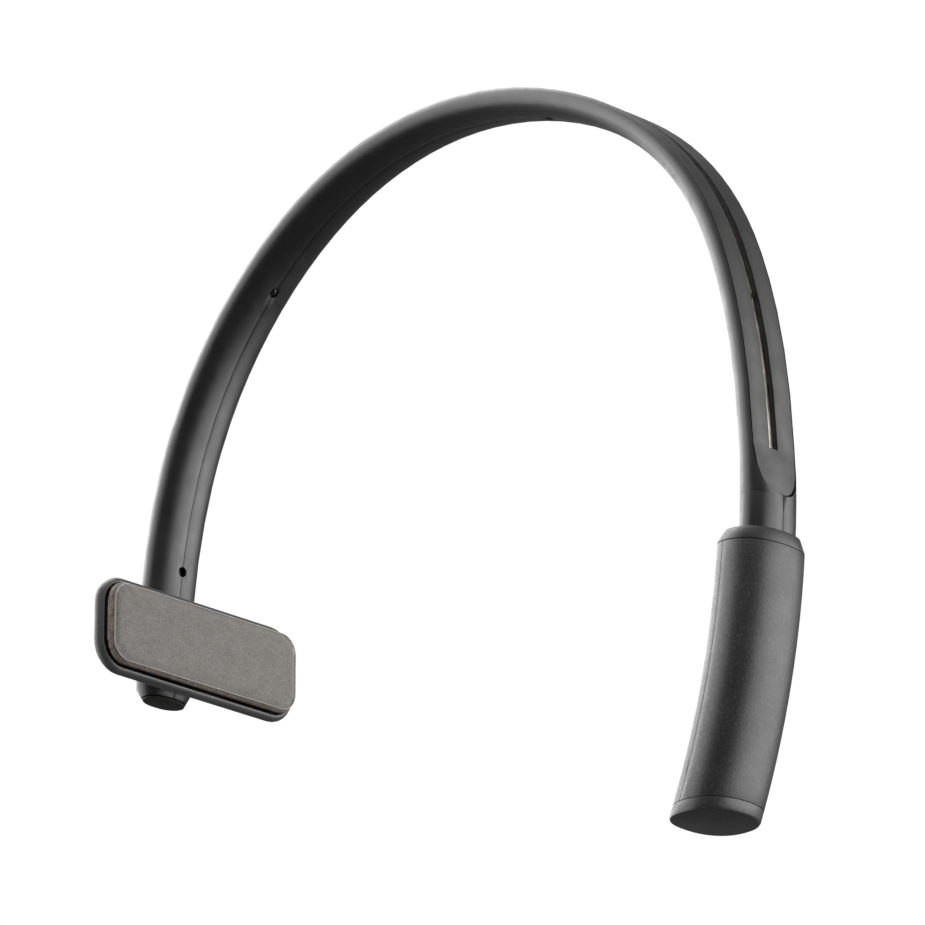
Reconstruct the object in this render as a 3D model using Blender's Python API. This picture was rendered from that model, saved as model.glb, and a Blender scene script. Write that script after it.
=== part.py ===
"""Single-sided over-the-head headset band with a bone-conduction T-pad and a size-adjusting sleeve.

Frame: +Z up as worn, X across the head (the pad arm at -X, the sleeve arm at +X), Y front to back.
The origin is the middle of the band's inner face at the crown. Every size below is in millimetres
and every angle in degrees; MM turns a size into metres where the vertices are made.
"""

import math

import bmesh
import bpy
from mathutils import Vector

MM = 0.001
GAP = 0.3                     # clearance between two pieces that touch
SEAM = 0.16                   # the finer joint between two halves of one skin

# --- the arch: radius of curvature of its centreline at angles measured from the crown
ARCH_LEFT = ((0.0, 69.7), (22.0, 58.7), (44.0, 74.3), (66.0, 73.1), (88.0, 125.0))
ARCH_RIGHT = ((0.0, 69.7), (22.0, 81.5), (44.0, 54.2), (66.0, 57.7), (84.0, 143.9))
END_FACE_ANGLE = -92.91       # the flat end of the pad arm
STUB_ANGLE = -92.69           # where the shells stop and its plug begins
TAPER_ANGLE = -91.95          # where the end starts to taper
TAIL_ANGLE = 101.2            # where the sleeve arm's hidden tail ends

# --- the band's section: a superellipse, cut flat on its outer side
HALF_THICK_CROWN = 2.55
HALF_THICK_SIDE = 3.3
HALF_WIDTH_CROWN = 5.52
HALF_WIDTH_SIDE = 5.5
SECTION_POWER = 2.2
FLAT_CROWN = 0.47             # height of the outer flat at the crown, as a part of the half thickness
FLAT_SIDE = 0.41              # and from FLAT_FROM degrees down the sides
FLAT_FROM = 45.0
STUB_INSET = 1.15             # how much the stub's tapered end draws in

# --- the recess in the outer side, and the slotted cover in it
RECESS_RIGHT = (87.8, 91.6)  # full width ends, tip of the rounded tongue
RECESS_LEFT = (-67.5, -72.0)
TONGUE_POWER = 2.6
TONGUE_RISE = 0.8             # how far the tongue climbs towards the full section at its tip
COVER_THICK = 0.8
SLOT_HALF = 1.0
SLOT_ENDS = (-63.5, 88.3)

# --- what runs in the channel under the cover
CHANNEL_HALF = 3.4
FLOOR_THICK = 1.15
STRIP_HALF, STRIP_THICK, STRIP_ENDS = 2.8, 0.5, (-66.0, 89.4)
RIBBON_HALF, RIBBON_THICK, RIBBON_ENDS = 2.0, 0.4, (-84.5, 100.6)
PIN_ANGLES = (-81.7, -43.6, 18.5, 50.0, 76.0)
PIN_RADIUS, PIN_HOLE, PIN_SINK = 0.62, 0.93, 1.0

# --- the T-pad: margins are measured outwards from the edge of its face, depths from the face back
PAD_FACE_X = -58.6
PAD_Z = -78.72
PAD_HALF_LENGTH = 21.7
PAD_HALF_HEIGHT = 7.03
PAD_CORNER = 3.8
PAD_RAKE = 0.03               # how much the pad climbs for each millimetre of depth
PIVOT_ANGLE = -89.5
PIVOT_RADIUS = 0.6
LUG_RADIUS = 1.5
LUG_NECK = 1.2                # half height of its neck
LUG_HALF_WIDTH = 3.1
WINDOW_HALF = 2.5             # half height of the window that the lug passes
EXCITER_Y = -11.0

# --- the sleeve, in the frame of the arc that it slides on
SLEEVE_CENTRE = -1.24         # its section's centre, inwards of the band's centreline
SLEEVE_HALF_THICK = 5.74
SLEEVE_HALF_WIDTH = 7.75
SLEEVE_POWER = 2.3
CAVITY_CENTRE = -0.88
CAVITY_HALF_THICK = 4.73
CAVITY_HALF_WIDTH = 6.55
COLLAR_TOP, COLLAR_FOOT = 94.0, 94.88
COLLAR_TOP_CENTRE, COLLAR_TOP_THICK, COLLAR_TOP_WIDTH = -1.08, 5.02, 6.75
SLEEVE_SPLIT = -2.55          # level at which the sleeve parts into two shells
SLEEVE_END_Z = -135.6
CAP_THICK = 2.0
BUTTON_ANGLE, BUTTON_HALF, BUTTON_RADIUS = 105.35, 2.6, 1.5
ROCKER_ANGLE, ROCKER_HALF, ROCKER_RADIUS = 108.6, 3.9, 1.5
BUTTON_PROUD = 0.35
CONTACT_ANGLE, CONTACT_Y, CONTACT_RADIUS = 106.6, 2.4, 1.0

MATERIALS = {
    "band_plastic": ((0.055, 0.055, 0.057), 0.45, 0.0),
    "cover_plastic": ((0.062, 0.062, 0.064), 0.5, 0.0),
    "sleeve_soft_touch": ((0.06, 0.06, 0.062), 0.6, 0.0),
    "collar_plastic": ((0.05, 0.05, 0.052), 0.4, 0.0),
    "housing_plastic": ((0.04, 0.04, 0.042), 0.35, 0.0),
    "plug_rubber": ((0.03, 0.028, 0.027), 0.75, 0.0),
    "pad_suede": ((0.2, 0.19, 0.18), 0.9, 0.0),
    "pad_foam": ((0.15, 0.13, 0.12), 0.95, 0.0),
    "spring_steel": ((0.55, 0.5, 0.44), 0.3, 1.0),
    "pin_steel": ((0.1, 0.1, 0.1), 0.4, 1.0),
    "ribbon_film": ((0.35, 0.18, 0.05), 0.5, 0.0),
    "plate_plastic": ((0.03, 0.03, 0.03), 0.5, 0.0),
    "yoke_steel": ((0.5, 0.5, 0.5), 0.35, 1.0),
    "magnet_metal": ((0.6, 0.6, 0.62), 0.25, 1.0),
    "coil_copper": ((0.7, 0.32, 0.14), 0.35, 1.0),
    "battery_wrap": ((0.1, 0.14, 0.22), 0.4, 0.0),
    "board_green": ((0.02, 0.09, 0.04), 0.4, 0.0),
    "switch_plastic": ((0.15, 0.15, 0.15), 0.5, 0.0),
    "button_plastic": ((0.05, 0.05, 0.052), 0.4, 0.0),
    "contact_gold": ((0.85, 0.6, 0.25), 0.25, 1.0),
}


# ------------------------------------------------------------------ geometry of the arch

def arch_centre(angle):
    """Centreline point (x, z) at an angle from the crown: radius is linear between the knots."""
    knots = ARCH_LEFT if angle < 0 else ARCH_RIGHT
    side = -1.0 if angle < 0 else 1.0
    goal = math.radians(abs(angle))
    x, z = 0.0, HALF_THICK_CROWN
    ends = [(math.radians(a), r) for a, r in knots] + [(math.pi, knots[-1][1])]
    for (a0, r0), (a1, r1) in zip(ends, ends[1:]):
        if goal <= a0:
            break
        slope = (r1 - r0) / (a1 - a0)
        stop = min(goal, a1)
        r_stop = r0 + slope * (stop - a0)
        x += (r_stop * math.sin(stop) + slope * math.cos(stop)) - (r0 * math.sin(a0) + slope * math.cos(a0))
        z += (r_stop * math.cos(stop) - slope * math.sin(stop)) - (r0 * math.cos(a0) - slope * math.sin(a0))
    return side * x, z


def arch_point(angle, n, y):
    """Point at height n over the centreline (outwards) and y across the band."""
    x, z = arch_centre(angle)
    a = math.radians(angle)
    return Vector((x + n * math.sin(a), y, z + n * math.cos(a)))


def arch_axes(angle):
    a = math.radians(angle)
    return Vector((math.sin(a), 0.0, math.cos(a))), Vector((math.cos(a), 0.0, -math.sin(a)))


TAIL_RADIUS = ARCH_RIGHT[-1][1]
SIDE_X, SIDE_Z = arch_centre(90.0)
SLIDE_CENTRE = Vector((SIDE_X - TAIL_RADIUS, 0.0, SIDE_Z))


def level_point(z, n, y):
    """Point of the sleeve arm at height n over its centreline that lies in the level plane z."""
    radius = TAIL_RADIUS + n
    return arch_point(90.0 + math.degrees(math.asin((SIDE_Z - z) / radius)), n, y)


def side_blend(angle):
    return min(abs(angle) / 90.0, 1.0)


def half_thick(angle):
    return HALF_THICK_CROWN + (HALF_THICK_SIDE - HALF_THICK_CROWN) * side_blend(angle)


def half_width(angle):
    return HALF_WIDTH_CROWN + (HALF_WIDTH_SIDE - HALF_WIDTH_CROWN) * side_blend(angle)


def stub_inset(angle):
    """The pad arm's last stretch tapers in."""
    if angle >= TAPER_ANGLE:
        return 0.0
    return STUB_INSET * (angle - TAPER_ANGLE) / (END_FACE_ANGLE - TAPER_ANGLE)


def tongue_travel(angle, shrink=0.0):
    """0 where the recess has its full width, 1 at the tip of either tongue and past it."""
    start, tip = RECESS_RIGHT if angle > 0 else RECESS_LEFT
    reach = abs(tip - start) - shrink
    return min(max((abs(angle) - abs(start)) / reach, 0.0), 1.0)


def flat_level(angle):
    return FLAT_CROWN + (FLAT_SIDE - FLAT_CROWN) * min(abs(angle) / FLAT_FROM, 1.0)


def flat_half_width(angle):
    level = flat_level(angle) ** SECTION_POWER
    return half_width(angle) * (1.0 - level) ** (1.0 / SECTION_POWER)


def tongue_width(angle, shrink=0.0):
    travel = tongue_travel(angle, shrink)
    return flat_half_width(angle) * (1.0 - travel ** TONGUE_POWER) ** (1.0 / TONGUE_POWER)


def cover_level(angle):
    """Height of the cover's outer face: the flat, rising a little towards each tongue's tip."""
    thick = half_thick(angle)
    travel = tongue_travel(angle)
    flat = flat_level(angle)
    rise = TONGUE_RISE * (1.0 - flat) * travel * travel
    return thick * (flat + rise)


def ledge_level(angle):
    return cover_level(angle) - COVER_THICK - GAP


# ------------------------------------------------------------------ building meshes

def make_material(name):
    colour, roughness, metallic = MATERIALS[name]
    material = bpy.data.materials.new(name)
    material.use_nodes = True
    shader = material.node_tree.nodes["Principled BSDF"]
    shader.inputs["Base Color"].default_value = (*colour, 1.0)
    shader.inputs["Roughness"].default_value = roughness
    shader.inputs["Metallic"].default_value = metallic
    return material


def get_material(name):
    return bpy.data.materials.get(name) or make_material(name)


def add_object(name, bm, material, joint=None, smooth=32.0):
    """Turn a bmesh in millimetres into an object; joint is the empty on whose axis it moves."""
    bmesh.ops.remove_doubles(bm, verts=bm.verts, dist=0.0005)
    bmesh.ops.recalc_face_normals(bm, faces=bm.faces)
    origin = joint.location if joint else Vector((0.0, 0.0, 0.0))
    for vert in bm.verts:
        vert.co = vert.co * MM - origin
    mesh = bpy.data.meshes.new(name)
    bm.to_mesh(mesh)
    bm.free()
    mesh.materials.append(get_material(material))
    obj = bpy.data.objects.new(name, mesh)
    bpy.context.scene.collection.objects.link(obj)
    obj.parent = joint
    if smooth:
        mesh.shade_smooth()
        mesh.set_sharp_from_angle(angle=math.radians(smooth))
    return obj


def add_joint(name, place):
    empty = bpy.data.objects.new(name, None)
    empty.empty_display_size = 0.005
    empty.location = place * MM
    bpy.context.scene.collection.objects.link(empty)
    return empty


def loft(rings, capped=True):
    """Skin rings of equal length into one closed body (or a tube of rings that closes on itself)."""
    bm = bmesh.new()
    loops = [[bm.verts.new(point) for point in ring] for ring in rings]
    pairs = list(zip(loops, loops[1:])) if capped else list(zip(loops, loops[1:] + loops[:1]))
    for low, high in pairs:
        for i in range(len(low)):
            j = (i + 1) % len(low)
            bm.faces.new((low[i], low[j], high[j], high[i]))
    if capped:
        bm.faces.new(list(reversed(loops[0])))
        bm.faces.new(loops[-1])
    return bm


def cells_to_plate(rows_top, rows_low, missing):
    """A plate from two grids of points; cells for which missing(row, column) is true are holes."""
    bm = bmesh.new()
    top = [[bm.verts.new(p) for p in row] for row in rows_top]
    low = [[bm.verts.new(p) for p in row] for row in rows_low]
    rows, columns = len(top) - 1, len(top[0]) - 1

    def present(i, j):
        return 0 <= i < rows and 0 <= j < columns and not missing(i, j)

    for i in range(rows):
        for j in range(columns):
            if not present(i, j):
                continue
            bm.faces.new((top[i][j], top[i][j + 1], top[i + 1][j + 1], top[i + 1][j]))
            bm.faces.new((low[i][j], low[i + 1][j], low[i + 1][j + 1], low[i][j + 1]))
            sides = (((i - 1, j), (i, j), (i, j + 1)), ((i + 1, j), (i + 1, j), (i + 1, j + 1)),
                     ((i, j - 1), (i, j), (i + 1, j)), ((i, j + 1), (i, j + 1), (i + 1, j + 1)))
            for cell, (a, b), (c, d) in sides:
                if not present(*cell):
                    bm.faces.new((top[a][b], low[a][b], low[c][d], top[c][d]))
    loose = [vert for vert in bm.verts if not vert.link_faces]
    bmesh.ops.delete(bm, geom=loose, context="VERTS")
    return bm


def spread(first, last, count):
    return [first + (last - first) * i / (count - 1) for i in range(count)]


def superellipse(centre, thick, width, power, count):
    """Closed ring of (n, y) points."""
    ring = []
    for i in range(count):
        turn = 2.0 * math.pi * i / count
        s, c = math.sin(turn), math.cos(turn)
        n = centre + thick * math.copysign(abs(s) ** (2.0 / power), s)
        y = width * math.copysign(abs(c) ** (2.0 / power), c)
        ring.append((n, y))
    return ring


def superellipse_arc(centre, thick, width, power, level, upper, count):
    """The part of a superellipse on one side of n = level, from +y round to -y."""
    ratio = (level - centre) / thick
    start = math.asin(math.copysign(abs(ratio) ** (power / 2.0), ratio))
    stop = math.pi - start if upper else -math.pi - start
    points = []
    for turn in spread(start, stop, count):
        s, c = math.sin(turn), math.cos(turn)
        n = centre + thick * math.copysign(abs(s) ** (2.0 / power), s)
        y = width * math.copysign(abs(c) ** (2.0 / power), c)
        points.append((n, y))
    return points


def cylinder(radius, start, axis, length, segments=20):
    """A round bar from a point along an axis."""
    axis = axis.normalized()
    side = axis.orthogonal().normalized()
    other = axis.cross(side)
    rings = []
    for reach in (0.0, length):
        centre = start + axis * reach
        turns = [2.0 * math.pi * i / segments for i in range(segments)]
        rings.append([centre + radius * (math.cos(t) * side + math.sin(t) * other) for t in turns])
    return loft(rings)


def tube(inner, outer, start, axis, length, segments=28):
    """A ring with a square section, open along its axis."""
    axis = axis.normalized()
    side = axis.orthogonal().normalized()
    other = axis.cross(side)
    turns = [2.0 * math.pi * i / segments for i in range(segments)]
    rings = []
    for radius, reach in ((inner, 0.0), (outer, 0.0), (outer, length), (inner, length)):
        centre = start + axis * reach
        rings.append([centre + radius * (math.cos(t) * side + math.sin(t) * other) for t in turns])
    return loft(rings, capped=False)


def box(centre, half, axes):
    """A box with its half sizes along three axes."""
    a, b, c = axes
    corners = ((-1, -1), (1, -1), (1, 1), (-1, 1))
    rings = []
    for end in (-1, 1):
        middle = centre + a * half[0] * end
        rings.append([middle + b * half[1] * u + c * half[2] * v for u, v in corners])
    return loft(rings)


def cutter(name, bm):
    """A helper shape that only cuts: it is never drawn or built."""
    obj = add_object(name, bm, "plate_plastic", smooth=None)
    obj.hide_render = True
    obj.display_type = "WIRE"
    return obj


def cut(obj, tool):
    modifier = obj.modifiers.new("cut_" + tool.name, "BOOLEAN")
    modifier.operation = "DIFFERENCE"
    modifier.object = tool


# ------------------------------------------------------------------ the band

def band_stations():
    """Angles at which the half shells have a section, dense at the tongues."""
    share = (CHANNEL_HALF / flat_half_width(90.0)) ** TONGUE_POWER
    crossing = (1.0 - share) ** (1.0 / TONGUE_POWER)
    tongue = (0.0, 0.25, 0.45, 0.62, 0.74, crossing, 0.93, 0.965, 0.985, 1.0)
    angles = [STUB_ANGLE, TAPER_ANGLE, -88.0, -84.0, -80.0, -76.0]
    left_start, left_tip = RECESS_LEFT
    angles += [left_start + (left_tip - left_start) * u for u in reversed(tongue)]
    angles += spread(-63.0, 84.0, 44)
    right_start, right_tip = RECESS_RIGHT
    angles += [right_start + (right_tip - right_start) * u for u in tongue]
    angles += [93.0, 95.0, 97.0, 99.0, TAIL_ANGLE]
    return angles


def half_shell_ring(angle, side):
    """Section of one half shell: outer skin, recess wall, ledge, channel and seam face."""
    inset = stub_inset(angle)
    thick, width = half_thick(angle) - inset, half_width(angle) - inset
    seam = SEAM / 2.0
    notch = max(tongue_width(angle), seam)
    channel = CHANNEL_HALF - inset

    def turn_for(y):
        return math.acos((y / width) ** (SECTION_POWER / 2.0))

    points = []
    for turn in spread(-turn_for(seam), turn_for(notch), 15):
        s, c = math.sin(turn), math.cos(turn)
        n = thick * math.copysign(abs(s) ** (2.0 / SECTION_POWER), s)
        points.append((n, width * c ** (2.0 / SECTION_POWER)))
    ledge = ledge_level(angle) - inset * 0.5
    floor = -thick + FLOOR_THICK
    points += [(ledge, notch), (ledge, channel), (floor, channel), (floor, seam)]
    return [arch_point(angle, n, side * y) for n, y in points]


def band_half(name, side):
    return add_object(name, loft([half_shell_ring(a, side) for a in band_stations()]), "band_plastic")


def slotted_cover():
    """The strip in the outer recess; its long slot shows the spring steel under it."""
    shrink = GAP / 2.5
    tongue = (0.0, 0.3, 0.55, 0.72, 0.84, 0.92, 0.965, 0.99)
    angles = [RECESS_LEFT[0] + (RECESS_LEFT[1] - RECESS_LEFT[0] + shrink) * u for u in reversed(tongue)]
    angles += [SLOT_ENDS[0] - 0.35, SLOT_ENDS[0], SLOT_ENDS[0] + 0.35]
    angles += spread(-60.0, 84.0, 42)
    angles += [RECESS_RIGHT[0], SLOT_ENDS[1] - 0.25, SLOT_ENDS[1]]
    reach = RECESS_RIGHT[1] - RECESS_RIGHT[0] - shrink
    angles += [RECESS_RIGHT[0] + reach * u for u in tongue[2:]]
    top, low = [], []
    for angle in angles:
        edge = max(tongue_width(angle, shrink) - GAP * 0.8, 0.4)
        slot = min(SLOT_HALF, edge * 0.5)
        across = (-edge, -slot, slot, edge)
        level = cover_level(angle)
        top.append([arch_point(angle, level, y) for y in across])
        low.append([arch_point(angle, level - COVER_THICK, y) for y in across])

    def in_slot(row, column):
        middle = (angles[row] + angles[row + 1]) / 2.0
        return column == 1 and SLOT_ENDS[0] < middle < SLOT_ENDS[1]

    return add_object("outer_cover", cells_to_plate(top, low, in_slot), "cover_plastic")


def strip_in_channel(name, material, half, thick, drop, ends, count):
    """A flat strip that follows the channel, its outer face a drop below the ledge."""
    rings = []
    for angle in spread(*ends, count):
        top = ledge_level(angle) - drop
        corners = ((top, -half), (top, half), (top - thick, half), (top - thick, -half))
        rings.append([arch_point(angle, n, y) for n, y in corners])
    return add_object(name, loft(rings), material)


def pin_cutters():
    """All the seam-hole cutters, as one hidden helper."""
    bm = bmesh.new()
    for angle in PIN_ANGLES:
        normal = arch_axes(angle)[0]
        start = arch_point(angle, -half_thick(angle) - 1.0, 0.0)
        bar = cylinder(PIN_HOLE, start, normal, half_thick(angle) + 1.0 + ledge_level(angle) + 0.15)
        mesh = bpy.data.meshes.new("bar")
        bar.to_mesh(mesh)
        bar.free()
        bm.from_mesh(mesh)
        bpy.data.meshes.remove(mesh)
    return cutter("seam_hole_cutter", bm)


def locating_pins():
    for number, angle in enumerate(PIN_ANGLES, start=1):
        normal = arch_axes(angle)[0]
        foot = -half_thick(angle) + PIN_SINK
        bar = cylinder(PIN_RADIUS, arch_point(angle, foot, 0.0), normal, ledge_level(angle) - 0.1 - foot, 16)
        add_object(f"locating_pin_{number}", bar, "pin_steel")


def end_plug():
    """Closes the pad arm's tapered end: a spigot in the channel and the flat dark end face."""
    count = 28

    def flange(angle):
        inset = stub_inset(angle)
        return superellipse(0.0, HALF_THICK_SIDE - inset, HALF_WIDTH_SIDE - inset, SECTION_POWER, count)

    spigot = superellipse(0.07, 0.85, 1.9, 4.0, count)
    seat = STUB_ANGLE - 0.1
    stack = ((spigot, STUB_ANGLE + 0.55), (spigot, seat), (flange(seat), seat),
             (flange(END_FACE_ANGLE), END_FACE_ANGLE))
    rings = [[arch_point(angle, n, y) for n, y in ring] for ring, angle in stack]
    add_object("band_end_plug", loft(rings), "plug_rubber")


def tail_stop():
    """The collar on the tail's end that keeps the sleeve from coming off."""
    ring = superellipse(-0.2, 3.1, 6.12, 2.6, 32)
    start = TAIL_ANGLE + 0.13
    rings = [[arch_point(angle, n, y) for n, y in ring] for angle in (start, start + 0.5)]
    add_object("tail_stop", loft(rings), "plate_plastic")


def build_band():
    halves = [band_half("band_shell_front", -1.0), band_half("band_shell_back", 1.0)]
    slotted_cover()
    steel = strip_in_channel("spring_steel_strip", "spring_steel", STRIP_HALF, STRIP_THICK, 0.0,
                             STRIP_ENDS, 46)
    ribbon = strip_in_channel("lead_ribbon", "ribbon_film", RIBBON_HALF, RIBBON_THICK,
                              STRIP_THICK + GAP, RIBBON_ENDS, 50)
    holes = pin_cutters()
    for piece in (*halves, steel, ribbon):
        cut(piece, holes)
    locating_pins()
    end_plug()
    tail_stop()

    pivot = arch_point(PIVOT_ANGLE, 0.0, 0.0)
    normal, tangent = arch_axes(PIVOT_ANGLE)
    across = Vector((0.0, 1.0, 0.0))
    middle = pivot - normal * (half_thick(PIVOT_ANGLE) - 0.3)
    window = cutter("lug_window_cutter",
                    box(middle, (1.5, CHANNEL_HALF, WINDOW_HALF), (normal, across, tangent)))
    pin_reach = HALF_WIDTH_SIDE - 0.9
    pin_hole = cutter("pivot_hole_cutter",
                      cylinder(PIVOT_RADIUS + GAP, pivot - across * pin_reach, across, 2.0 * pin_reach))
    for piece in halves:
        cut(piece, window)
        cut(piece, pin_hole)
    pin_half = pin_reach - GAP
    add_object("pad_pivot_pin", cylinder(PIVOT_RADIUS, pivot - across * pin_half, across, 2.0 * pin_half),
               "pin_steel")


# ------------------------------------------------------------------ the T-pad

def pad_ring(margin, depth, steps=7):
    """Rounded rectangle at a margin outside the pad's face and a depth behind it."""
    half_y = PAD_HALF_LENGTH + margin
    half_z = PAD_HALF_HEIGHT + margin
    radius = min(max(PAD_CORNER + margin, 0.6), half_z - 0.05)
    ring = []
    quarters = ((1, 1, 0.0), (-1, 1, 90.0), (-1, -1, 180.0), (1, -1, 270.0))
    for sign_y, sign_z, start in quarters:
        for i in range(steps + 1):
            turn = math.radians(start + 90.0 * i / steps)
            y = sign_y * (half_y - radius) + radius * math.cos(turn)
            z = sign_z * (half_z - radius) + radius * math.sin(turn)
            ring.append(Vector((PAD_FACE_X - depth, y, PAD_Z + PAD_RAKE * depth + z)))
    return ring


def pad_housing(joint):
    """One deep tub: a rounded rim round the cushion, and a domed back."""
    outside = ((0.54, 2.1), (0.62, 1.96), (0.78, 1.92), (0.98, 2.02), (1.28, 2.28), (1.52, 2.65), (1.64, 3.05),
               (1.58, 3.5), (1.25, 3.88), (0.7, 4.38), (0.0, 4.95), (-1.2, 5.6), (-3.0, 6.1), (-5.0, 6.35))
    inside = ((0.54, 3.3), (0.3, 3.55), (-0.7, 4.3), (-1.7, 4.8), (-3.3, 5.2), (-5.0, 5.4))
    rings = [pad_ring(*place) for place in (*reversed(outside), *inside)]
    housing = add_object("pad_housing", loft(rings), "housing_plastic", joint)
    back = Vector((PAD_FACE_X - 6.35, 0.0, joint.location.z / MM))
    hole = cutter("lug_hole_cutter", box(back, (2.5, LUG_HALF_WIDTH + GAP, LUG_NECK + GAP), WORLD_AXES))
    cut(housing, hole)
    return housing


def pad_cushion(joint):
    """The soft sheet on the front, the foam block behind it, and the plate that drives them."""
    sheet = [pad_ring(-0.12, 0.0), pad_ring(0.0, 0.06), pad_ring(0.02, 0.2)]
    add_object("pad_face_sheet", loft(sheet), "pad_suede", joint)
    foam = [pad_ring(0.02, 0.48), pad_ring(0.12, 0.7), pad_ring(0.26, 1.35), pad_ring(0.22, 1.6)]
    add_object("pad_cushion", loft(foam), "pad_foam", joint)
    plate = [pad_ring(0.12, 1.88), pad_ring(0.12, 2.4)]
    add_object("contact_plate", loft(plate), "plate_plastic", joint)


def pivot_lug(joint, housing):
    """The eye on the pivot pin, its neck, and the flange that is screwed inside the housing."""
    pivot = joint.location / MM
    flange_front, flange_back = PAD_FACE_X - 4.0, PAD_FACE_X - 4.75
    flange_half = 3.4
    outline = [Vector((flange_back, 0.0, pivot.z - LUG_NECK))]
    outline += [Vector((flange_back, 0.0, pivot.z - flange_half)),
                Vector((flange_front, 0.0, pivot.z - flange_half)),
                Vector((flange_front, 0.0, pivot.z + flange_half)),
                Vector((flange_back, 0.0, pivot.z + flange_half))]
    outline.append(Vector((flange_back, 0.0, pivot.z + LUG_NECK)))
    half_angle = math.degrees(math.asin(LUG_NECK / LUG_RADIUS))
    for turn in spread(half_angle, 360.0 - half_angle, 17):
        t = math.radians(turn)
        outline.append(Vector((pivot.x + LUG_RADIUS * math.cos(t), 0.0, pivot.z + LUG_RADIUS * math.sin(t))))
    across = Vector((0.0, LUG_HALF_WIDTH, 0.0))
    lug = add_object("pad_pivot_lug", loft([[p - across for p in outline], [p + across for p in outline]]),
                     "yoke_steel", joint)
    eye = cutter("lug_eye_cutter", cylinder(PIVOT_RADIUS + GAP, pivot - across * 2.0, across, 14.0))
    cut(lug, eye)
    bore = cutter("lug_screw_cutter", joined_bars(lug_screw_places(joint), 0.75, 2.7))
    cut(lug, bore)
    cut(housing, bore)
    for number, place in enumerate(lug_screw_places(joint), start=1):
        screw(f"lug_screw_{number}", place + Vector((1.05, 0.0, 0.0)), Vector((-1.0, 0.0, 0.0)), joint)


def lug_screw_places(joint):
    pivot = joint.location / MM
    return [Vector((PAD_FACE_X - 4.35, 0.0, pivot.z + side * 2.3)) for side in (-1.0, 1.0)]


def joined_bars(places, radius, length):
    bm = bmesh.new()
    for place in places:
        bar = cylinder(radius, place - Vector((length / 2.0, 0.0, 0.0)), Vector((1.0, 0.0, 0.0)), length, 12)
        mesh = bpy.data.meshes.new("bar")
        bar.to_mesh(mesh)
        bar.free()
        bm.from_mesh(mesh)
        bpy.data.meshes.remove(mesh)
    return bm


def screw(name, start, axis, joint):
    """A small screw: a low head and a plain shank, turned about its axis."""
    side = axis.orthogonal().normalized()
    other = axis.cross(side)
    profile = ((0.0, 1.1), (0.4, 1.1), (0.4, 0.45), (2.1, 0.45))
    rings = []
    for reach, radius in profile:
        turns = [2.0 * math.pi * i / 14 for i in range(14)]
        centre = start + axis * reach
        rings.append([centre + radius * (math.cos(t) * side + math.sin(t) * other) for t in turns])
    return add_object(name, loft(rings), "pin_steel", joint)


def exciter(joint):
    """The bone-conduction driver: a steel cup, its magnet, a voice coil and the spring that holds it."""
    back = Vector((PAD_FACE_X - 4.75, EXCITER_Y, PAD_Z))
    forward = Vector((1.0, 0.0, 0.0))
    segments = 28
    rings = []
    for radius, reach in ((4.4, 0.0), (4.4, 1.7), (3.85, 1.7), (3.85, 0.5)):
        turns = [2.0 * math.pi * i / segments for i in range(segments)]
        rings.append([back + Vector((reach, radius * math.cos(t), radius * math.sin(t))) for t in turns])
    add_object("exciter_yoke", loft(rings), "yoke_steel", joint)
    add_object("exciter_magnet", cylinder(2.2, back + forward * 0.8, forward, 0.8, 24), "magnet_metal", joint)
    add_object("voice_coil", tube(2.5, 3.5, back + forward * 0.85, forward, 0.83), "coil_copper", joint)
    add_object("exciter_spring", tube(2.1, 4.3, back + forward * 1.96, forward, 0.15), "spring_steel", joint)


def build_pad(joint):
    housing = pad_housing(joint)
    pad_cushion(joint)
    pivot_lug(joint, housing)
    exciter(joint)


# ------------------------------------------------------------------ the sleeve

def sleeve_shell(name, upper, joint):
    """Outer or inner shell of the sleeve, parted nearer to its inner side."""
    level = SLEEVE_SPLIT + (SEAM / 2.0 if upper else -SEAM / 2.0)
    outer = superellipse_arc(SLEEVE_CENTRE, SLEEVE_HALF_THICK, SLEEVE_HALF_WIDTH, SLEEVE_POWER,
                             level, upper, 25)
    inner = superellipse_arc(CAVITY_CENTRE, CAVITY_HALF_THICK, CAVITY_HALF_WIDTH, SLEEVE_POWER,
                             level, upper, 17)
    profile = outer + inner[::-1]
    rings = [[arch_point(angle, n, y) for n, y in profile]
             for angle in spread(COLLAR_FOOT + 0.07, 110.2, 14)]
    foot = SLEEVE_END_Z + CAP_THICK + SEAM
    rings.append([level_point(foot, n, y) for n, y in profile])
    return add_object(name, loft(rings), "sleeve_soft_touch", joint)


def collar(joint):
    count = 44
    bore = superellipse(0.0, HALF_THICK_SIDE + GAP, HALF_WIDTH_SIDE + GAP, SECTION_POWER, count)
    top = superellipse(COLLAR_TOP_CENTRE, COLLAR_TOP_THICK, COLLAR_TOP_WIDTH, SLEEVE_POWER, count)
    foot = superellipse(SLEEVE_CENTRE, SLEEVE_HALF_THICK, SLEEVE_HALF_WIDTH, SLEEVE_POWER, count)
    stack = ((bore, COLLAR_FOOT), (bore, COLLAR_TOP), (top, COLLAR_TOP), (foot, COLLAR_FOOT - 0.06),
             (foot, COLLAR_FOOT))
    rings = [[arch_point(angle, n, y) for n, y in ring] for ring, angle in stack]
    add_object("sleeve_collar", loft(rings, capped=False), "collar_plastic", joint)


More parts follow.
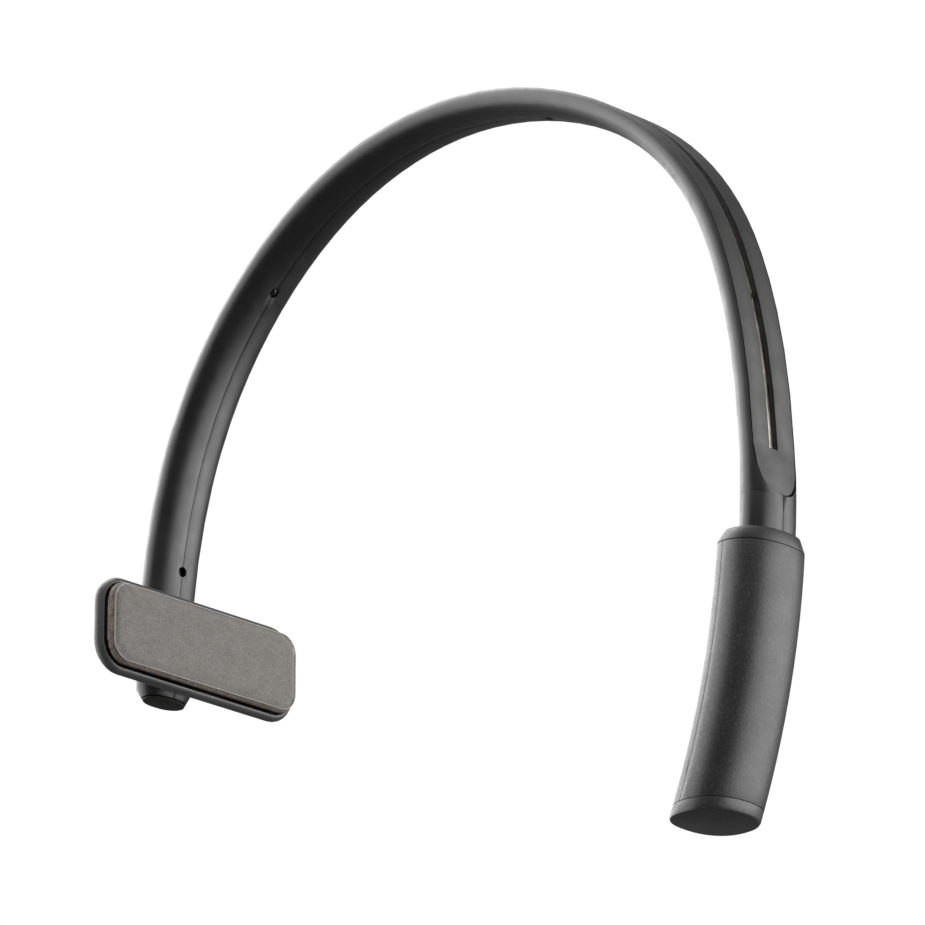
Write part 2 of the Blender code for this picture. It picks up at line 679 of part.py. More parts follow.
def end_cap(joint):
    """The level end of the sleeve, its lower edge rounded off."""
    count = 44

    def ring(inset, z):
        points = superellipse(SLEEVE_CENTRE, SLEEVE_HALF_THICK - inset, SLEEVE_HALF_WIDTH - inset,
                              SLEEVE_POWER, count)
        return [level_point(z, n, y) for n, y in points]

    top = SLEEVE_END_Z + CAP_THICK
    spigot = 1.5
    rings = [ring(spigot + GAP, top + 1.2), ring(spigot + GAP, top), ring(0.0, top),
             ring(0.0, SLEEVE_END_Z + 0.5), ring(0.15, SLEEVE_END_Z + 0.15), ring(0.5, SLEEVE_END_Z)]
    add_object("sleeve_end_cap", loft(rings), "collar_plastic", joint)


def pill_ring(angle, half, radius, y, steps=7):
    """Round-ended outline on the sleeve's back edge, at y."""
    normal, tangent = arch_axes(angle)
    centre = arch_point(angle, SLEEVE_CENTRE, y)
    ring = []
    for end, start in ((1.0, -90.0), (-1.0, 90.0)):
        for turn in spread(start, start + 180.0, steps):
            t = math.radians(turn)
            along = end * (half - radius) + radius * math.cos(t)
            ring.append(centre + tangent * along + normal * radius * math.sin(t))
    return ring


def key(name, angle, half, radius, joint):
    """A key with a domed head outside the shell and a flange behind the wall that keeps it in."""
    face = SLEEVE_HALF_WIDTH + BUTTON_PROUD
    stack = ((half - 0.35, radius - 0.35, face), (half - 0.08, radius - 0.08, face - 0.14),
             (half, radius, face - 0.4), (half, radius, 5.55), (half + 0.5, radius + 0.5, 5.55),
             (half + 0.5, radius + 0.5, 5.1))
    add_object(name, loft([pill_ring(angle, *place) for place in stack]), "button_plastic", joint)


def sleeve_inside(joint):
    middle = 107.3
    normal, tangent = arch_axes(middle)
    across = Vector((0.0, 1.0, 0.0))
    axes = (normal, across, tangent)
    add_object("battery", box(arch_point(middle, 0.6, -0.6), (1.6, 4.2, 7.6), axes), "battery_wrap", joint)
    add_object("circuit_board", box(arch_point(middle, -3.0, -0.3), (0.4, 4.8, 8.2), axes), "board_green",
               joint)
    for name, angle, half in (("power_switch", BUTTON_ANGLE, 1.5), ("volume_switch", ROCKER_ANGLE, 2.4)):
        frame = arch_axes(angle)
        place = arch_point(angle, -1.75, 3.85)
        add_object(name, box(place, (0.42, 0.75, half), (frame[0], across, frame[1])), "switch_plastic", joint)


def charge_contacts(joint, shell):
    """Two round spring contacts, flush with the side that faces the head."""
    normal = arch_axes(CONTACT_ANGLE)[0]
    outer_skin = SLEEVE_CENTRE - SLEEVE_HALF_THICK * (
        1.0 - (CONTACT_Y / SLEEVE_HALF_WIDTH) ** SLEEVE_POWER) ** (1.0 / SLEEVE_POWER)
    for number, y in enumerate((-CONTACT_Y, CONTACT_Y), start=1):
        foot = arch_point(CONTACT_ANGLE, outer_skin, y)
        hole = cutter(f"contact_cutter_{number}",
                      cylinder(CONTACT_RADIUS + GAP, foot - normal * 2.0, normal, 4.6))
        cut(shell, hole)
        add_object(f"charge_contact_{number}", cylinder(CONTACT_RADIUS, foot, normal, 3.0), "contact_gold",
                   joint)


def build_sleeve(joint, button_joint, rocker_joint):
    shells = [sleeve_shell("sleeve_outer_shell", True, joint),
              sleeve_shell("sleeve_inner_shell", False, joint)]
    for name, angle, half, radius in (("button_cutter", BUTTON_ANGLE, BUTTON_HALF, BUTTON_RADIUS),
                                      ("rocker_cutter", ROCKER_ANGLE, ROCKER_HALF, ROCKER_RADIUS)):
        window = [pill_ring(angle, half + GAP, radius + GAP, y) for y in (5.0, 9.0)]
        tool = cutter(name, loft(window))
        for shell in shells:
            cut(shell, tool)
    charge_contacts(joint, shells[1])
    collar(joint)
    end_cap(joint)
    sleeve_inside(joint)
    key("power_button", BUTTON_ANGLE, BUTTON_HALF, BUTTON_RADIUS, button_joint)
    key("volume_rocker", ROCKER_ANGLE, ROCKER_HALF, ROCKER_RADIUS, rocker_joint)


WORLD_AXES = (Vector((1.0, 0.0, 0.0)), Vector((0.0, 1.0, 0.0)), Vector((0.0, 0.0, 1.0)))


def main():
    for obj in list(bpy.data.objects):
        bpy.data.objects.remove(obj, do_unlink=True)
    pad_joint = add_joint("pad_tilt_axis", arch_point(PIVOT_ANGLE, 0.0, 0.0))
    slide_joint = add_joint("sleeve_arc_axis", SLIDE_CENTRE)
    button_joint = add_joint("power_button_axis", arch_point(BUTTON_ANGLE, SLEEVE_CENTRE, SLEEVE_HALF_WIDTH))
    rocker_joint = add_joint("volume_rocker_axis", arch_point(ROCKER_ANGLE, SLEEVE_CENTRE, 5.3))
    build_band()
    build_pad(pad_joint)
    build_sleeve(slide_joint, button_joint, rocker_joint)


main()
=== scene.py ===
"""Looks for the single-arm contact headband: materials, the soft pad, stage, light and camera."""
import math

import bmesh
import bpy
from mathutils import Matrix, Vector


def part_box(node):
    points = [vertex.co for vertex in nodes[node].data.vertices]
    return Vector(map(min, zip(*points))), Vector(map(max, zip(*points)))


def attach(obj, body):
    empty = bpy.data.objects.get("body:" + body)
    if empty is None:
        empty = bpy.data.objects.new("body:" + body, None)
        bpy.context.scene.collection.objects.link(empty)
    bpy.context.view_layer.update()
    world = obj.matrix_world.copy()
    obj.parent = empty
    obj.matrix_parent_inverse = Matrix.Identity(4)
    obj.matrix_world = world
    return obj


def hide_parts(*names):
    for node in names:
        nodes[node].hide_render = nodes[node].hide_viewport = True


MM = 0.001

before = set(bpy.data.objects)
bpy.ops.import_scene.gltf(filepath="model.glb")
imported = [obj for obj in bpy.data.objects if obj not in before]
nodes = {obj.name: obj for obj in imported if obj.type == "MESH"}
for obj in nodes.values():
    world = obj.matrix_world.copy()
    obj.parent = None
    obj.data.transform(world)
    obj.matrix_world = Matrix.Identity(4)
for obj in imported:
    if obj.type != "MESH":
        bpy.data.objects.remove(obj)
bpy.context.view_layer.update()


# ------------------------------------------------------------------ camera
VIEW_TURN = math.radians(44.0)
VIEW_RISE = math.radians(-20.05)
VIEW_DISTANCE = 1250.0 * MM
# the aim point in mm: along the view's right, along its up, and straight up
AIM_RIGHT, AIM_UP, AIM_Z = 1.83, -58.59, 2.55
LENS = 285.155
SENSOR_WIDTH = 36.0


def camera_axes():
    """The main view's own directions: right, up, and back towards the viewer."""
    back = Vector((math.sin(VIEW_TURN) * math.cos(VIEW_RISE),
                   -math.cos(VIEW_TURN) * math.cos(VIEW_RISE), math.sin(VIEW_RISE)))
    right = Vector((math.cos(VIEW_TURN), math.sin(VIEW_TURN), 0.0))
    return right, back.cross(right), back


def add_camera():
    right, up, back = camera_axes()
    target = (AIM_RIGHT * right + AIM_UP * up + Vector((0.0, 0.0, AIM_Z))) * MM
    data = bpy.data.cameras.new("camera")
    data.lens = LENS
    data.sensor_width = SENSOR_WIDTH
    data.clip_start = 0.01
    data.clip_end = 30.0
    camera = bpy.data.objects.new("camera", data)
    bpy.context.scene.collection.objects.link(camera)
    turn = Matrix((right, up, back)).transposed().to_4x4()
    camera.matrix_world = Matrix.Translation(target + back * VIEW_DISTANCE) @ turn
    bpy.context.scene.camera = camera


# ------------------------------------------------------------------ materials
class Material:
    """A node material in object space, with short calls for its nodes."""

    def __init__(self, name):
        self.material = bpy.data.materials.new(name)
        self.material.use_nodes = True
        self.tree = self.material.node_tree
        self.shader = self.tree.nodes["Principled BSDF"]
        self.place = self.tree.nodes.new("ShaderNodeTexCoord").outputs["Object"]
        self.bumped = None

    def link(self, out, into):
        self.tree.links.new(out, into)

    def add(self, kind, **inputs):
        node = self.tree.nodes.new("ShaderNode" + kind)
        for name, value in inputs.items():
            node.inputs[name.replace("_", " ")].default_value = value
        return node

    def noise(self, size_mm, detail=2.0, stretch=None, rough=0.5):
        node = self.add("TexNoise", Scale=1.0 / (size_mm * MM), Detail=detail, Roughness=rough)
        source = self.place
        if stretch:
            mapping = self.add("Mapping", Scale=stretch)
            self.link(source, mapping.inputs["Vector"])
            source = mapping.outputs["Vector"]
        self.link(source, node.inputs["Vector"])
        return node.outputs["Fac"]

    def cells(self, size_mm):
        node = self.add("TexVoronoi", Scale=1.0 / (size_mm * MM))
        self.link(self.place, node.inputs["Vector"])
        return node.outputs["Distance"]

    def waves(self, size_mm, axis):
        node = self.add("TexWave", Scale=1.0 / (size_mm * MM) / 3.1416, Distortion=0.6)
        node.bands_direction = axis
        self.link(self.place, node.inputs["Vector"])
        return node.outputs["Fac"]

    def ramp(self, value, stops):
        node = self.add("ValToRGB")
        ramp = node.color_ramp
        while len(ramp.elements) < len(stops):
            ramp.elements.new(0.5)
        for element, (at, colour) in zip(ramp.elements, stops):
            element.position = at
            element.color = (*colour, 1.0)
        self.link(value, node.inputs["Fac"])
        return node.outputs["Color"]

    def mix(self, kind, share, first, second):
        node = self.add("Mix")
        node.data_type = "RGBA"
        node.blend_type = kind
        if isinstance(share, float):
            node.inputs["Factor"].default_value = share
        else:
            self.link(share, node.inputs["Factor"])
        self.link(first, node.inputs["A"])
        self.link(second, node.inputs["B"])
        return node.outputs["Result"]

    def spread(self, value, low, high, start=0.3, end=0.7):
        node = self.add("MapRange", From_Min=start, From_Max=end, To_Min=low, To_Max=high)
        self.link(value, node.inputs["Value"])
        return node.outputs["Result"]

    def bump(self, height, depth_mm, strength=1.0):
        node = self.add("Bump", Distance=depth_mm * MM, Strength=strength)
        self.link(height, node.inputs["Height"])
        if self.bumped:
            self.link(self.bumped, node.inputs["Normal"])
        self.bumped = node.outputs["Normal"]
        self.link(self.bumped, self.shader.inputs["Normal"])

    def colour(self, out):
        self.link(out, self.shader.inputs["Base Color"])

    def rough(self, out):
        self.link(out, self.shader.inputs["Roughness"])

    def set(self, **values):
        for name, value in values.items():
            socket = name.replace("_", " ").title().replace("Ior", "IOR")
            self.shader.inputs[socket].default_value = value


TONE_DRIFT = 0.12


def grey(level, warm=0.0):
    return (level * (1.0 + warm), level, level * (1.0 - warm))


def moulded(name, tone, warm=0.0, rough=0.42, rough_span=0.08, grain=0.22, depth=0.006,
            speck=0.0, specular=0.5):
    """Moulded plastic: slow drifts of tone, a fine spark grain, and faint rubbed patches."""
    m = Material(name)
    slow = m.ramp(m.noise(9.0, 3.0), [(0.3, grey(tone * (1.0 - TONE_DRIFT), warm)),
                                      (0.7, grey(tone * (1.0 + TONE_DRIFT), warm))])
    fine = m.noise(grain, 2.0, rough=0.6)
    grains = m.ramp(fine, [(0.34, grey(0.72)), (0.55, grey(1.0)), (0.78, grey(1.25 + speck))])
    m.colour(m.mix("MULTIPLY", 1.0, slow, grains))
    rubbed = m.noise(4.0, 4.0, rough=0.65)
    m.rough(m.spread(rubbed, rough - rough_span, rough + rough_span))
    m.bump(fine, depth)
    m.bump(m.noise(3.2, 2.0), depth * 0.8)
    m.set(specular_ior_level=specular)
    return m.material


def metal(name, tone, rough=0.3, brushed=(1.0, 1.0, 1.0)):
    """Rolled or plated metal with fine lines along its length and a trace of tarnish."""
    m = Material(name)
    lines = m.noise(0.35, 3.0, stretch=brushed)
    stain = m.noise(2.6, 4.0)
    shaded, tarnish = tuple(v * 0.86 for v in tone), tuple(v * 0.72 for v in tone)
    stained = m.spread(stain, 0.0, 0.55, 0.45, 0.75)
    clean = m.ramp(lines, [(0.25, shaded), (0.75, tone)])
    m.colour(m.mix("MIX", stained, clean, m.ramp(lines, [(0.0, tarnish), (1.0, tarnish)])))
    m.rough(m.spread(lines, rough - 0.08, rough + 0.1))
    m.bump(lines, 0.003)
    m.set(metallic=1.0)
    return m.material


def suede(name):
    """Fine microfibre: short nap that lies in soft patches, over a very fine grain."""
    m = Material(name)
    nap = m.noise(2.2, 4.0, rough=0.6)
    fibre = m.noise(0.13, 3.0, stretch=(1.0, 0.7, 1.0), rough=0.65)
    base = m.ramp(nap, [(0.3, (0.150, 0.138, 0.127)), (0.7, (0.182, 0.169, 0.157))])
    pile = m.ramp(fibre, [(0.32, grey(0.55)), (0.52, grey(1.0)), (0.72, grey(1.5))])
    m.colour(m.mix("MULTIPLY", 1.0, base, pile))
    m.rough(m.spread(nap, 0.82, 0.95))
    m.bump(fibre, 0.035)
    m.bump(nap, 0.05, 0.6)
    m.set(sheen_weight=0.35, sheen_roughness=0.45, specular_ior_level=0.25)
    return m.material


def foam(name):
    """The cut edge of the foam: open cells, warm brown-grey."""
    m = Material(name)
    holes = m.cells(0.42)
    soft = m.noise(1.4, 4.0)
    base = m.ramp(soft, [(0.3, (0.125, 0.102, 0.086)), (0.7, (0.195, 0.163, 0.140))])
    cell = m.ramp(holes, [(0.05, grey(0.45)), (0.35, grey(1.0)), (0.7, grey(1.25))])
    m.colour(m.mix("MULTIPLY", 1.0, base, cell))
    m.rough(m.spread(soft, 0.85, 1.0))
    m.bump(holes, 0.08)
    m.set(specular_ior_level=0.2)
    return m.material


def highlit_piping(name):
    """The folded edge of the face sheet: random tone in its pile, painted paler overall than the
    face as a painted highlight along the rolled edge.
    """
    m = Material(name)
    twist = m.noise(0.3, 3.0)
    # painted highlight: both tones sit well above the suede face, so the whole bead reads as a lit
    # edge; the twist noise only varies the tone at random
    m.colour(m.ramp(twist, [(0.3, (0.20, 0.185, 0.17)), (0.7, (0.34, 0.32, 0.30))]))
    m.rough(m.spread(twist, 0.7, 0.9))
    m.bump(twist, 0.03)
    m.set(sheen_weight=0.25)
    return m.material


def film(name, low, high, rough):
    """Thin films, wraps and lacquers: streaks of tone with a soft gloss."""
    m = Material(name)
    streak = m.noise(1.1, 4.0, stretch=(1.0, 3.0, 0.4))
    m.colour(m.ramp(streak, [(0.3, low), (0.7, high)]))
    m.rough(m.spread(m.noise(0.6, 2.0), rough - 0.08, rough + 0.08))
    m.bump(streak, 0.01)
    return m.material


def wound_copper(name):
    """Enamelled winding: turns packed side by side."""
    m = Material(name)
    turns = m.waves(0.16, "X")
    m.colour(m.ramp(turns, [(0.2, (0.34, 0.12, 0.05)), (0.6, (0.72, 0.33, 0.16))]))
    m.rough(m.spread(turns, 0.25, 0.45))
    m.bump(turns, 0.03)
    m.set(metallic=1.0)
    return m.material


def paint_nodes():
    """One finish for each material of the part, on every piece that is made of it."""
    finishes = (
        (moulded("band_satin_plastic", 0.0125, rough=0.36, grain=0.2),
         ("band_shell_front", "band_shell_back")),
        (moulded("cover_matte_plastic", 0.0125, rough=0.46, grain=0.2, depth=0.008),
         ("outer_cover",)),
        (moulded("sleeve_soft_touch", 0.024, rough_span=0.05, grain=0.42, depth=0.03, speck=1.2),
         ("sleeve_outer_shell", "sleeve_inner_shell", "sleeve_end_cap")),
        (moulded("collar_grained_plastic", 0.018, rough=0.44, grain=0.4, depth=0.026, speck=0.8),
         ("sleeve_collar",)),
        (moulded("housing_satin_plastic", 0.058, rough=0.34, grain=0.2, depth=0.004),
         ("pad_housing",)),
        (moulded("key_satin_plastic", 0.014, rough=0.38, grain=0.2),
         ("power_button", "volume_rocker")),
        (moulded("plug_rubber", 0.012, warm=0.06, rough=0.7, grain=0.3, depth=0.02, specular=0.3),
         ("band_end_plug",)),
        (moulded("plate_plastic", 0.03, rough=0.5),
         ("contact_plate", "pad_pivot_lug", "tail_stop")),
        (moulded("switch_plastic", 0.12, rough=0.5),
         ("power_switch", "volume_switch")),
        (metal("spring_steel_bronzed", (0.95, 0.88, 0.78), rough=0.40, brushed=(0.4, 3.0, 0.4)),
         ("spring_steel_strip",)),
        (metal("pin_blackened_steel", (0.10, 0.10, 0.105), rough=0.35),
         ("locating_pin_1", "locating_pin_2", "locating_pin_3", "locating_pin_4", "locating_pin_5",
          "pad_pivot_pin", "lug_screw_1", "lug_screw_2")),
        (metal("yoke_nickel", (0.55, 0.54, 0.52)),
         ("exciter_yoke", "exciter_spring")),
        (metal("magnet_plating", (0.62, 0.62, 0.64), rough=0.2),
         ("exciter_magnet",)),
        (metal("contact_gold", (0.86, 0.62, 0.28), rough=0.22),
         ("charge_contact_1", "charge_contact_2")),
        (wound_copper("coil_copper"),
         ("voice_coil",)),
        (film("ribbon_polyimide", (0.26, 0.12, 0.03), (0.42, 0.21, 0.06), 0.35),
         ("lead_ribbon",)),
        (film("battery_wrap", (0.07, 0.10, 0.17), (0.12, 0.17, 0.26), 0.4),
         ("battery",)),
        (film("board_solder_resist", (0.012, 0.07, 0.03), (0.03, 0.12, 0.05), 0.4),
         ("circuit_board",)),
    )
    for finish, names in finishes:
        for name in names:
            for slot in nodes[name].material_slots:
                slot.material = finish


# ------------------------------------------------------------------ mesh helpers
def add_object(name, bm):
    """A named piece in the scene, made of the faces that were built."""
    mesh = bpy.data.meshes.new(name)
    bm.to_mesh(mesh)
    bm.free()
    obj = bpy.data.objects.new(name, mesh)
    bpy.context.scene.collection.objects.link(obj)
    return obj


def apply_modifiers(obj):
    depsgraph = bpy.context.evaluated_depsgraph_get()
    mesh = bpy.data.meshes.new_from_object(obj.evaluated_get(depsgraph))
    old = obj.data
    obj.modifiers.clear()
    obj.data = mesh
    bpy.data.meshes.remove(old)
    mesh.name = obj.name


def remesh(obj, voxel):
    modifier = obj.modifiers.new("remesh", "REMESH")
    modifier.mode = "VOXEL"
    modifier.voxel_size = voxel
    apply_modifiers(obj)


# ------------------------------------------------------------------ moulded skins
SHARP_ANGLE = math.radians(31.0)
MERGE_DISTANCE = 0.0005 * MM


def skin(node, body, rounding, closing):
    """The moulded part as it leaves the tool: smooth faces, rounded edges and tight seams.

    rounding is the edges' radius, and closing is how far the surface moves out to close its seams.
    """
    source = nodes[node]
    bm = bmesh.new()
    bm.from_mesh(source.data)
    bmesh.ops.remove_doubles(bm, verts=bm.verts, dist=MERGE_DISTANCE)
    bmesh.ops.recalc_face_normals(bm, faces=bm.faces)
    bm.normal_update()
    moves = [vertex.normal * closing for vertex in bm.verts]
    for vertex, move in zip(bm.verts, moves):
        vertex.co += move
    piece = add_object(node + "_skin", bm)
    piece.data.materials.append(source.material_slots[0].material)
    if rounding:
        edge = piece.modifiers.new("edge", "BEVEL")
        edge.width = rounding
        edge.segments = 2
        edge.limit_method = "ANGLE"
        edge.angle_limit = SHARP_ANGLE
        apply_modifiers(piece)
    piece.data.polygons.foreach_set("use_smooth", [True] * len(piece.data.polygons))
    piece.data.set_sharp_from_angle(angle=SHARP_ANGLE)
    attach(piece, body)
    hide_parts(node)


# node, body, slot, then the edges' rounding and the seams' closing in mm
SKINS = (
    ("band_shell_front", "band", "band_plastic", 0.05, 0.03),
    ("band_shell_back", "band", "band_plastic", 0.05, 0.03),
    ("outer_cover", "band", "cover_plastic", 0.05, 0.05),
    ("spring_steel_strip", "band", "spring_steel", 0.0, 0.14),
    ("band_end_plug", "band", "plug_rubber", 0.05, 0.03),
    ("pad_housing", "pad", "housing_plastic", 0.10, 0.0),
    ("sleeve_outer_shell", "sleeve", "sleeve_soft_touch", 0.04, 0.045),
    ("sleeve_inner_shell", "sleeve", "sleeve_soft_touch", 0.04, 0.045),
    ("sleeve_collar", "sleeve", "collar_plastic", 0.06, 0.03),
    ("sleeve_end_cap", "sleeve", "sleeve_soft_touch", 0.06, 0.045),
    ("power_button", "power_key", "button_plastic", 0.10, 0.0),
    ("volume_rocker", "volume_key", "button_plastic", 0.10, 0.0),
)


def build_skins():
    for node, body, slot, rounding, closing in SKINS:
        skin(node, body, rounding * MM, closing * MM)


# ------------------------------------------------------------------ the soft pad
# the pad swells at this many times its size, and SIM_VOXEL is a length at that size
SIM_SCALE = 20.0
SIM_VOXEL = 0.009
SIM_FRAMES = 20
PRESSURE = 4.0
STRETCH_STIFFNESS = 12.0
BEND_STIFFNESS = 1.5
# the share of the pad's depth that is glued down, and how far the rest may swell
HELD_SHARE = 0.55
SWELL_CAP = 0.16 * MM
PAD_CORNER = 3.8 * MM
CORNER_SHRINK = 0.8
# distance in front of the pad's back, and how far inside the back's outline, in mm
PAD_PROFILE = ((0.0, -0.14), (0.5, -0.06), (1.0, 0.08), (1.3, 0.2), (1.47, 0.36), (1.56, 0.6),
               (1.6, 1.0))
# the folded edge of the face sheet: a bead this far inside the outline and behind the face
BEAD_INSET = 0.42 * MM
BEAD_SINK = 0.15 * MM
BEAD_RADIUS = 0.11 * MM
BEAD_STEP = 0.8 * MM
BEAD_CORNER_STEPS = 14
# faces that look less forward than this belong to the foam edge
FACE_FORWARD = 0.3


def rounded_outline(centre, half_y, half_z, corner, x, steps=8):
    """A closed rounded rectangle in a plane of constant x."""
    points = []
    for turn in range(4):
        sy, sz = ((1, 1), (-1, 1), (-1, -1), (1, -1))[turn]
        for step in range(steps):
            angle = math.radians(90.0) * (turn + step / (steps - 1))
            points.append(Vector((x, centre.y + sy * (half_y - corner) + corner * math.cos(angle),
                                  centre.z + sz * (half_z - corner) + corner * math.sin(angle))))
    return points


def pad_size():
    """The x of its back and its face, its middle, its half sizes, and the middle of its face."""
    back_low, back_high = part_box("pad_cushion")
    face_low, face_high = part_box("pad_face_sheet")
    centre, face_centre = (back_low + back_high) / 2.0, (face_low + face_high) / 2.0
    half_y, half_z = (back_high.y - back_low.y) / 2.0, (back_high.z - back_low.z) / 2.0
    return back_low.x, face_high.x, centre, half_y, half_z, face_centre


def pad_blank():
    """The pad before it swells: rings from its back to its rolled front edge."""
    x_back, x_face, centre, half_y, half_z, face_centre = pad_size()
    full_depth = PAD_PROFILE[-1][0]
    depth_scale = (x_face - x_back) / (full_depth * MM)
    bm = bmesh.new()
    rings = []
    for depth, inset in PAD_PROFILE:
        middle = centre.lerp(face_centre, depth / full_depth)
        ring = rounded_outline(middle, half_y - inset * MM, half_z - inset * MM,
                               PAD_CORNER - inset * MM * CORNER_SHRINK,
                               x_back + depth * MM * depth_scale)
        rings.append([bm.verts.new(point) for point in ring])
    for low, high in zip(rings, rings[1:]):
        for i in range(len(low)):
            j = (i + 1) % len(low)
            bm.faces.new((low[i], low[j], high[j], high[i]))
    bm.faces.new(rings[0])
    bm.faces.new(rings[-1])
    bmesh.ops.recalc_face_normals(bm, faces=bm.faces)
    return add_object("soft_pad", bm)


def swell(pad):
    """Lets the pad puff up under its cover, with its back held to the plate behind it."""
    x_back, x_face, origin = pad_size()[:3]
    held = x_back + (x_face - x_back) * HELD_SHARE
    for vertex in pad.data.vertices:
        vertex.co = (vertex.co - origin) * SIM_SCALE
    remesh(pad, SIM_VOXEL)
    rest = [vertex.co.copy() for vertex in pad.data.vertices]
    group = pad.vertex_groups.new(name="held")
    for vertex in pad.data.vertices:
        if vertex.co.x / SIM_SCALE + origin.x < held:
            group.add([vertex.index], 1.0, "REPLACE")
    cloth = pad.modifiers.new("cloth", "CLOTH")
    settings = cloth.settings
    settings.effector_weights.gravity = 0.0
    settings.use_pressure = True
    settings.uniform_pressure_force = PRESSURE
    settings.quality = 5
    settings.tension_stiffness = STRETCH_STIFFNESS
    settings.compression_stiffness = STRETCH_STIFFNESS
    settings.bending_stiffness = BEND_STIFFNESS
    settings.vertex_group_mass = "held"
    cloth.collision_settings.use_self_collision = False
    cloth.point_cache.frame_start = 1
    cloth.point_cache.frame_end = SIM_FRAMES
    scene = bpy.context.scene
    for number in range(1, SIM_FRAMES + 1):
        scene.frame_set(number)
    apply_modifiers(pad)
    pad.vertex_groups.clear()
    scene.frame_set(1)
    cap = SWELL_CAP * SIM_SCALE
    for vertex, start in zip(pad.data.vertices, rest):
        move = vertex.co - start
        if move.length > cap:
            move *= cap / move.length
        vertex.co = (start + move) / SIM_SCALE + origin
    subdivide = pad.modifiers.new("smooth", "SUBSURF")
    subdivide.levels = subdivide.render_levels = 1
    apply_modifiers(pad)


def tube_around(name, path, radius, sides=8):
    """A closed round bead along a closed path in a plane of constant x."""
    bm = bmesh.new()
    rings = []
    count = len(path)
    for i, point in enumerate(path):
        along = (path[(i + 1) % count] - path[i - 1]).normalized()
        out = along.cross(Vector((1.0, 0.0, 0.0)))
        ring = []
        for k in range(sides):
            turn = 2.0 * math.pi * k / sides
            ring.append(bm.verts.new(point + out * (radius * math.cos(turn))
                                     + Vector((radius * math.sin(turn), 0.0, 0.0))))
        rings.append(ring)
    for i in range(count):
        a, b = rings[i], rings[(i + 1) % count]
        for k in range(sides):
            n = (k + 1) % sides
            bm.faces.new((a[k], a[n], b[n], b[k]))
    bmesh.ops.recalc_face_normals(bm, faces=bm.faces)
    bead = add_object(name, bm)
    for polygon in bead.data.polygons:
        polygon.use_smooth = True
    return bead


def densify(path, step):
    """The same closed path with points no further apart than about the step."""
    points = []
    count = len(path)
    for i in range(count):
        a, b = path[i], path[(i + 1) % count]
        parts = max(1, int((b - a).length / step))
        points += [a.lerp(b, k / parts) for k in range(parts)]
    return points


def beyond_corner(offset, half_y, half_z):
    """How far a point is outside a rounded rectangle, negative inside it."""
    corner = PAD_CORNER - BEAD_INSET
    y = abs(offset.y) - (half_y - corner)
    z = abs(offset.z) - (half_z - corner)
    return math.hypot(max(y, 0.0), max(z, 0.0)) + min(max(y, z), 0.0) - corner


def build_pad():
    """The soft pad with its suede face and foam edge, and the folded edge around its face."""
    pad = pad_blank()
    swell(pad)
    pad.data.materials.clear()
    for material in (suede("pad_suede_face"), foam("pad_foam_edge")):
        pad.data.materials.append(material)
    x_face, _, half_y, half_z, face_centre = pad_size()[1:]
    inner_y, inner_z = half_y - BEAD_INSET, half_z - BEAD_INSET
    for polygon in pad.data.polygons:
        polygon.use_smooth = True
        outside = beyond_corner(polygon.center - face_centre, inner_y, inner_z)
        on_face = polygon.normal.x > FACE_FORWARD and outside < 0.0
        polygon.material_index = 0 if on_face else 1
    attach(pad, "pad")
    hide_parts("pad_cushion", "pad_face_sheet")

    path = rounded_outline(face_centre, inner_y, inner_z, PAD_CORNER - BEAD_INSET,
                           x_face - BEAD_SINK, BEAD_CORNER_STEPS)
    unique = [point for i, point in enumerate(path) if (point - path[i - 1]).length > 1e-7]
    bead = tube_around("pad_edge_bead", densify(unique, BEAD_STEP), BEAD_RADIUS)
    # the bead's pale finish is a painted highlight along the face's rolled edge
    bead.data.materials.append(highlit_piping("pad_edge_fold_painted_highlight"))
    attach(bead, "pad")


# ------------------------------------------------------------------ stage and light
FLOOR_Z = -0.64
FLOOR_SIDES = 96
# radius and rise of each ring, in metres
FLOOR_RINGS = ((0.4, 0.0), (1.2, 0.0), (2.5, 0.0), (4.0, 0.03), (5.2, 0.12), (6.0, 0.3))


def build_floor():
    """A wide pale disc with a gently rising rim."""
    bm = bmesh.new()
    rings = []
    turns = [2.0 * math.pi * i / FLOOR_SIDES for i in range(FLOOR_SIDES)]
    for radius, rise in FLOOR_RINGS:
        rings.append([bm.verts.new((radius * math.cos(t), radius * math.sin(t), FLOOR_Z + rise))
                      for t in turns])
    bm.faces.new(rings[0])
    for low, high in zip(rings, rings[1:]):
        for i in range(FLOOR_SIDES):
            j = (i + 1) % FLOOR_SIDES
            bm.faces.new((low[i], high[i], high[j], low[j]))
    bmesh.ops.recalc_face_normals(bm, faces=bm.faces)
    floor = add_object("floor", bm)
    m = Material("floor_paper")
    fibre = m.noise(30.0, 3.0)
    m.colour(m.ramp(fibre, [(0.3, (0.80, 0.80, 0.80)), (0.7, (0.86, 0.86, 0.86))]))
    m.rough(m.spread(fibre, 0.85, 0.95))
    m.set(emission_color=(1.0, 1.0, 1.0, 1.0), emission_strength=0.45)
    floor.data.materials.append(m.material)
    floor.visible_glossy = False
    floor.visible_diffuse = False


# each soft light's direction as (right, up, back) of the main view, its brightness and soft edge
LIGHT_LOBES = (
    ((1.0, 0.08, 0.10), 4.6, (0.66, 0.985)),
    ((-0.55, 0.35, -0.75), 4.0, (0.72, 0.95)),
    ((-1.0, 0.0, -0.12), 3.2, (0.46, 0.98)),
    ((-0.15, 0.85, -0.50), 3.6, (0.85, 0.97)),
    ((0.0, 1.0, 0.30), 0.4, (0.60, 0.95)),
)
AMBIENT = 0.19
BACKDROP = 1.02


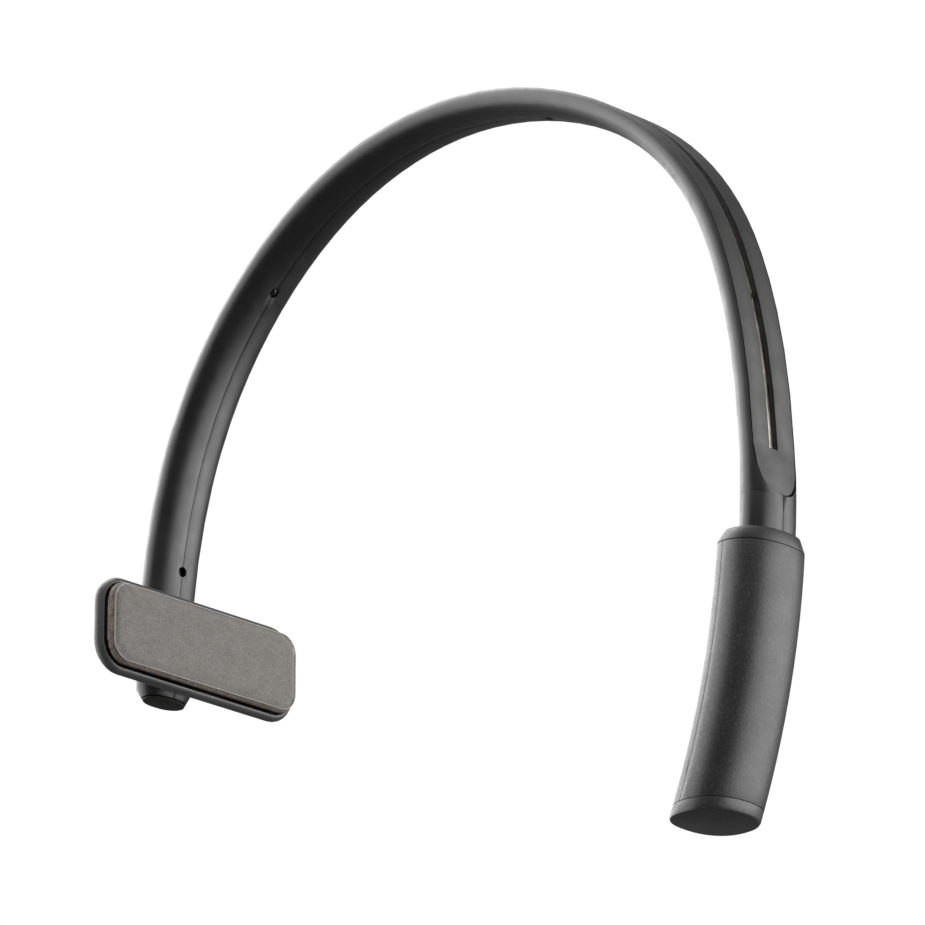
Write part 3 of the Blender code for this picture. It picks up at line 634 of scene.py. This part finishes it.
def build_world():
    """Broad soft lights round the part with a dim front, and a white backdrop behind it."""
    world = bpy.data.worlds.new("studio")
    bpy.context.scene.world = world
    world.use_nodes = True
    tree = world.node_tree
    tree.nodes.clear()
    place = tree.nodes.new("ShaderNodeTexCoord").outputs["Generated"]
    right, up, back = camera_axes()
    total = None
    for parts, strength, (start, end) in LIGHT_LOBES:
        dot = tree.nodes.new("ShaderNodeVectorMath")
        dot.operation = "DOT_PRODUCT"
        direction = right * parts[0] + up * parts[1] + back * parts[2]
        dot.inputs[1].default_value = direction.normalized()
        tree.links.new(place, dot.inputs[0])
        lobe = tree.nodes.new("ShaderNodeMapRange")
        lobe.interpolation_type = "SMOOTHSTEP"
        lobe.inputs["From Min"].default_value = start
        lobe.inputs["From Max"].default_value = end
        lobe.inputs["To Min"].default_value = AMBIENT if total is None else 0.0
        lobe.inputs["To Max"].default_value = strength
        tree.links.new(dot.outputs["Value"], lobe.inputs["Value"])
        if total is None:
            total = lobe.outputs["Result"]
            continue
        add = tree.nodes.new("ShaderNodeMath")
        add.operation = "ADD"
        tree.links.new(total, add.inputs[0])
        tree.links.new(lobe.outputs["Result"], add.inputs[1])
        total = add.outputs["Value"]
    light = tree.nodes.new("ShaderNodeBackground")
    tree.links.new(total, light.inputs["Strength"])
    seen = tree.nodes.new("ShaderNodeBackground")
    seen.inputs["Strength"].default_value = BACKDROP
    path = tree.nodes.new("ShaderNodeLightPath")
    mix = tree.nodes.new("ShaderNodeMixShader")
    tree.links.new(path.outputs["Is Camera Ray"], mix.inputs["Fac"])
    tree.links.new(light.outputs["Background"], mix.inputs[1])
    tree.links.new(seen.outputs["Background"], mix.inputs[2])
    out = tree.nodes.new("ShaderNodeOutputWorld")
    tree.links.new(mix.outputs["Shader"], out.inputs["Surface"])
    for node in (light, seen):
        node.inputs["Color"].default_value = (1.0, 1.0, 1.0, 1.0)


SOFTBOX_WIDTH, SOFTBOX_HEIGHT = 0.7, 1.3
SOFTBOX_DISTANCE = 1.4
SOFTBOX_POWER = 2.0
ARCH_MIDDLE = Vector((0.0, 0.0, -0.06))


def softbox(name, towards):
    """A large area light that looks at the middle of the arch."""
    data = bpy.data.lights.new(name, "AREA")
    data.shape = "RECTANGLE"
    data.size = SOFTBOX_WIDTH
    data.size_y = SOFTBOX_HEIGHT
    data.energy = SOFTBOX_POWER
    lamp = bpy.data.objects.new(name, data)
    bpy.context.scene.collection.objects.link(lamp)
    direction = towards.normalized()
    lamp.location = ARCH_MIDDLE + direction * SOFTBOX_DISTANCE
    lamp.rotation_euler = direction.to_track_quat("Z", "Y").to_euler()


def build_light():
    right, up, back = camera_axes()
    softbox("softbox_left", -right * 0.9 + up * 0.2 - back * 0.3)
    softbox("softbox_right", right + up * 0.1 - back * 0.1)


add_camera()
paint_nodes()
build_skins()
build_pad()
build_floor()
build_world()
build_light()
bpy.context.scene.view_settings.view_transform = "Standard"
